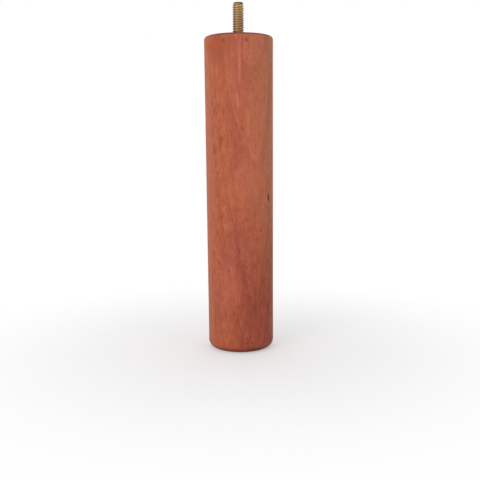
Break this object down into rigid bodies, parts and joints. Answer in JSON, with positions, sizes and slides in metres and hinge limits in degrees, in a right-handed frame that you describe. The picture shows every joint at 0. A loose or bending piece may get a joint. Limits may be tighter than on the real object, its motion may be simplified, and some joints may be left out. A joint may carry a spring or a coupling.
{
  "type": "tapered wooden furniture leg",
  "caption": "Slim round tapered wooden furniture leg, turned and stained, with a hanger bolt standing out of its top as a threaded stud.",
  "frame": {"origin": "centre of the flat foot face, on the leg's axis", "axes": "+Z along the leg's axis from the foot to the threaded stud; the leg is round, so +X and +Y are any two directions across it"},
  "size_m": [0.038, 0.038, 0.1923],
  "materials": {
    "stained_hardwood": "reddish-brown stain under satin lacquer",
    "plated_steel": "yellow zinc plating, slightly dull"
  },
  "bodies": {
    "root": {"turned_leg": "stained_hardwood", "hanger_bolt": "plated_steel"}
  },
  "joints": []
}
